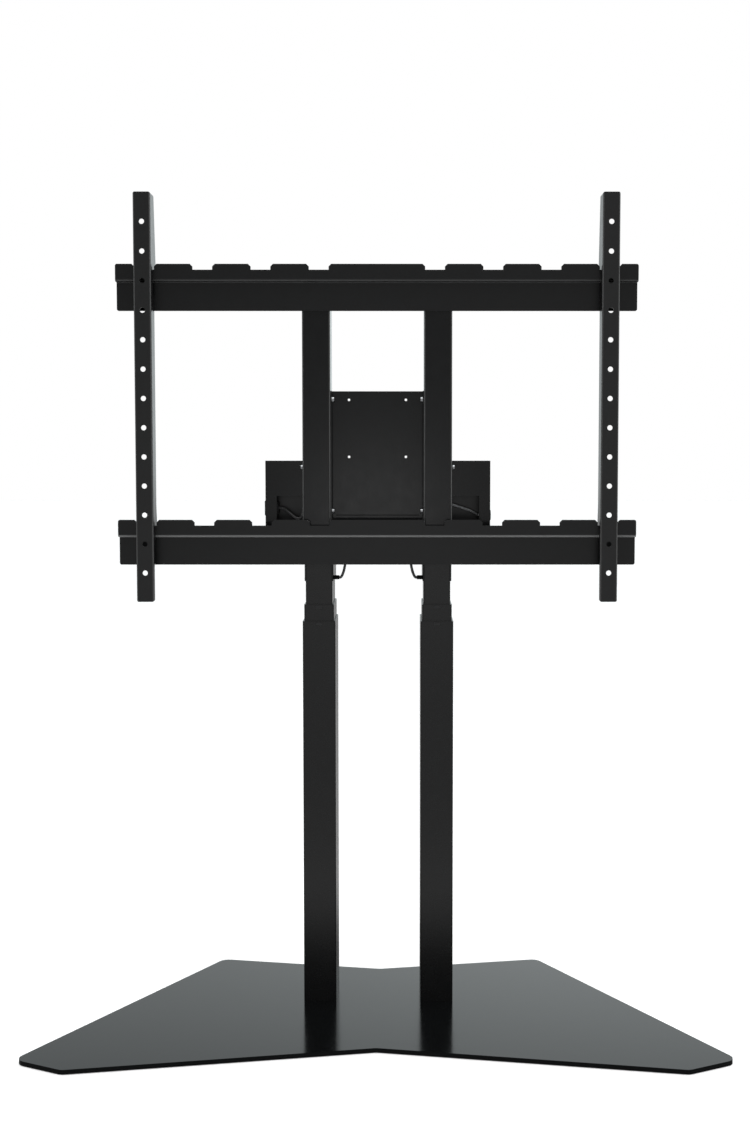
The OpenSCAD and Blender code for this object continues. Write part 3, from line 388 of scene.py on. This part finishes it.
def boot(name, node, side):
    """Ribbed strain relief boot between the head's side wall and the lead."""
    ribs, ribbed = 6, 10 * MM
    bm = bmesh.new()
    for pts in clusters(nodes[node]):
        mid, lo, hi, r_lo, r_hi, _ = turned_size(pts, 0)
        r = max(r_lo, r_hi)
        length = hi - lo
        rings = [(0, 0, False), (0, r, False), (length - ribbed, r, False)]
        for k in range(ribs):
            z = length - ribbed + (k + 0.35) * ribbed / (ribs + 0.5)
            rings += [(z, 0.995 * r, False), (z + 0.04 * ribbed, 0.90 * r, False),
                      (z + 0.08 * ribbed, 0.90 * r, False), (z + 0.10 * ribbed, 0.98 * r, False)]
        rings += [(length, 0.96 * r, False), (length, 0, False)]
        lathe(bm, rings, from_end(mid, 0, lo if side < 0 else hi), 0, -side)
    piece(name, bm, RUBBER, slot_of[node], body_of(nodes[node])[0], node)


def smooth_route(pts, pieces=5):
    """The same route with points added on one smooth curve through them."""
    p = [Vector(q) * MM for q in pts]
    p = [2 * p[0] - p[1]] + p + [2 * p[-1] - p[-2]]
    out = []
    for a, b, c, d in zip(p, p[1:], p[2:], p[3:]):
        for k in range(pieces):
            t = k / pieces
            out.append(0.5 * (2 * b + (c - a) * t + (2 * a - 5 * b + 4 * c - d) * t * t
                              + (3 * b - a - 3 * c + d) * t ** 3))
    return out + [p[-2]]


def lead(name, node, pts, radius, mat, segs=16):
    """A round lead along its route, with the smooth bends of a real one."""
    route = smooth_route(pts)
    bm = bmesh.new()
    tangent = (route[1] - route[0]).normalized()
    normal = tangent.orthogonal().normalized()
    loops = []
    for i, q in enumerate(route):
        t = (route[min(i + 1, len(route) - 1)] - route[max(i - 1, 0)]).normalized()
        normal = (normal - t * normal.dot(t)).normalized()
        side = t.cross(normal)
        loops.append([bm.verts.new(q + (normal * math.cos(2 * math.pi * k / segs)
                                        + side * math.sin(2 * math.pi * k / segs)) * radius * MM)
                      for k in range(segs)])
    for a, b in zip(loops, loops[1:]):
        for k in range(segs):
            bm.faces.new([a[k], a[(k + 1) % segs], b[(k + 1) % segs], b[k]])
    bm.faces.new(loops[0][::-1])
    bm.faces.new(loops[-1])
    piece(name, bm, mat, slot_of[node], body_of(nodes[node])[0], node, sharp=60)


screws("side_cap_screws", "side_bolts", 0)
screws("cover_cap_screws", "cover_screws", 1)
screws("unit_cap_screws", "control_unit_screws", 1)
screws("head_cap_screws", "head_bolts", 1)
screws("bracket_cap_screws", "bracket_bolts", 0)
nuts("rail_hex_nuts", "rail_nuts", 1)

# Routes and radii of the leads in millimetres, the same points as in the part's source
BOOT_Y = 59.5
MOTOR_R, INLET_R, SIGNAL_R = 2.4, 2.5, 2.1
MOTOR_ROUTE = [(70, 784), (68, 784), (66.2, 785.4), (64.7, 787.8), (63.3, 791.2), (61.8, 796),
               (60.4, 802), (59.2, 810), (58.2, 822), (57.2, 838), (56.5, 856), (56, 878),
               (56, 903.5)]
INLET_ROUTE = [(-179, 68, 909), (-173, 68, 908.5), (-167, 66, 906), (-160, 63, 901),
               (-153, 61, 895), (-147, 61, 891), (-141, 62, 890.5), (-137.5, 63, 894),
               (-136, 64, 900), (-134, 65, 908), (-129, 66, 914), (-123, 66, 916), (-118, 66, 916)]
SIGNAL_ROUTE = [(118, 62, 917), (124, 62, 917), (132, 62, 915.5), (142, 62, 912.5),
                (152, 62.5, 909.5), (163, 64, 905.5), (173, 66, 900.5), (181, 68, 896.5),
                (187.5, 68, 896)]
# The motor leads and the inlet lead are black leads painted lighter: painted highlight on the motor
# leads, painted light on the inlet lead
for side, s in SIDES:
    boot("ribbed_boot_" + side, "lead_boot_" + side, s)
    lead("motor_cable_" + side, "motor_lead_" + side, [(s * x, BOOT_Y, z) for x, z in MOTOR_ROUTE],
         MOTOR_R, SHEATH_PAINTED_HIGHLIGHT)
lead("inlet_cable", "inlet_lead", INLET_ROUTE, INLET_R, SHEATH_PAINTED_LIGHT)
lead("signal_cable", "signal_lead", SIGNAL_ROUTE, SIGNAL_R, PALE)


# ---------------------------------------------------------------- stage
def stage_mesh(name, verts, faces, mat):
    me = bpy.data.meshes.new(name)
    me.from_pydata(verts, [], faces)
    o = bpy.data.objects.new(name, me)
    bpy.context.scene.collection.objects.link(o)
    me.materials.append(mat)


floor_mat = bpy.data.materials.new("floor_white")
floor_mat.use_nodes = True
ft = floor_mat.node_tree
ft.nodes.remove(ft.nodes["Principled BSDF"])
f_ray = add(ft, "LightPath")
# A pale floor, lifted to the white of the backdrop where the camera sees it
FLOOR_GLOW, FLOOR_CAMERA_GLOW = 0.15, 0.20
f_paint = add(ft, "BsdfDiffuse", {"Color": (0.8, 0.8, 0.8, 1)})
f_lift = add(ft, "Emission", {"Strength": maths(ft, "MULTIPLY_ADD", f_ray.outputs["Is Camera Ray"],
                                                FLOOR_CAMERA_GLOW, FLOOR_GLOW)})
f_pale = add(ft, "AddShader", {0: f_paint.outputs[0], 1: f_lift.outputs[0]})
# In reflections it is dim around the object, brightest just in front of it and dimmer again
# further out; far out in front it is a little brighter
FADE_FROM, FADE_TO = -2.0, 2.0
FADE = ((0.25, 0.62), (0.335, 1.18), (0.415, 0.16), (0.5875, 0.16), (0.725, 0.55))
FADE_FIRST, FADE_LAST = 0.50, 0.55
f_at = add(ft, "SeparateXYZ", {0: add(ft, "TexCoord").outputs["Object"]}).outputs["Y"]
f_fade = add(ft, "ValToRGB", {"Fac": steps(ft, f_at, FADE_FROM, FADE_TO, 0.0, 1.0, kind="LINEAR")})
f_fade.color_ramp.interpolation = "EASE"
for at, value in FADE:
    f_fade.color_ramp.elements.new(at).color = grey(value)
f_fade.color_ramp.elements[0].color = grey(FADE_FIRST)
f_fade.color_ramp.elements[-1].color = grey(FADE_LAST)
f_far = steps(ft, f_at, -20.0, -4.0, 1.3, 1.0)
f_gloss = add(ft, "Emission", {"Strength": maths(ft, "MULTIPLY", f_fade.outputs["Color"], f_far)})
f_mix = add(ft, "MixShader", {"Fac": f_ray.outputs["Is Glossy Ray"], 1: f_pale.outputs[0],
                              2: f_gloss.outputs[0]})
ft.links.new(f_mix.outputs[0], ft.nodes["Material Output"].inputs["Surface"])
S = 30.0
stage_mesh("floor", [(-S, -S, 0), (S, -S, 0), (S, S, 0), (-S, S, 0)], [(0, 1, 2, 3)], floor_mat)

world = bpy.data.worlds.new("world")
bpy.context.scene.world = world
world.use_nodes = True
wt = world.node_tree
wt.nodes.clear()
w_dir = add(wt, "SeparateXYZ", {0: add(wt, "TexCoord").outputs["Generated"]})
w_x, w_y, w_z = (w_dir.outputs[axis] for axis in "XYZ")
w_aside = maths(wt, "ABSOLUTE", w_x)
# The soft room is the product of smooth steps: direction, start, end, value before, value after
w_strength = steps(wt, w_y, -0.85, 0.1, 0.53, 1.20)   # darker towards the front of the studio
for direction, *step in (
        (w_x, -0.24, 0.12, 0.74, 1.06),               # a little brighter to the right
        (w_z, 0.55, 0.9, 1.0, 2.6),                   # a broad soft box overhead
        (w_aside, 0.35, 0.8, 1.0, 0.5),               # dimmer at both sides, beyond the backdrop
        (w_z, 0.30, 0.46, 1.0, 0.55)):                # darker above the backdrop
    w_strength = maths(wt, "MULTIPLY", w_strength, steps(wt, direction, *step))
# The backdrop is a slightly cool white, the front of the room neutral
w_tint = add(wt, "Mix", {"Factor": steps(wt, w_y, -0.2, 0.6, 0.0, 1.0, kind="LINEAR"),
                         "A": (1.0, 1.0, 1.0, 1), "B": (0.93, 1.0, 1.01, 1)}, data_type="RGBA")
w_soft = add(wt, "Background", {"Strength": w_strength, "Color": w_tint.outputs["Result"]})
w_white = add(wt, "Background", {"Strength": 1.0, "Color": (1, 1, 1, 1)})
w_mix = add(wt, "MixShader", {"Fac": add(wt, "LightPath").outputs["Is Camera Ray"],
                              1: w_soft.outputs[0], 2: w_white.outputs[0]})
add(wt, "OutputWorld", {"Surface": w_mix.outputs[0]})


def area(name, loc, target, size, power):
    """A square lamp at loc that looks at target."""
    d = bpy.data.lights.new(name, "AREA")
    d.shape = "SQUARE"
    d.size = size
    d.energy = power
    o = bpy.data.objects.new(name, d)
    bpy.context.scene.collection.objects.link(o)
    o.location = loc
    o.rotation_euler = (Vector(target) - Vector(loc)).to_track_quat("-Z", "Y").to_euler()


MIDDLE = (0, 0.1, 0.9)
area("soft_top", (0.0, -0.6, 4.2), (0, 0, 0.6), 3.0, 60)
area("soft_left", (-3.4, -0.6, 2.6), MIDDLE, 2.4, 14)
area("soft_right", (3.4, -0.6, 2.6), MIDDLE, 2.4, 22)
area("low_front", (-0.2, -12.0, 0.42), MIDDLE, 0.8, 10.5)
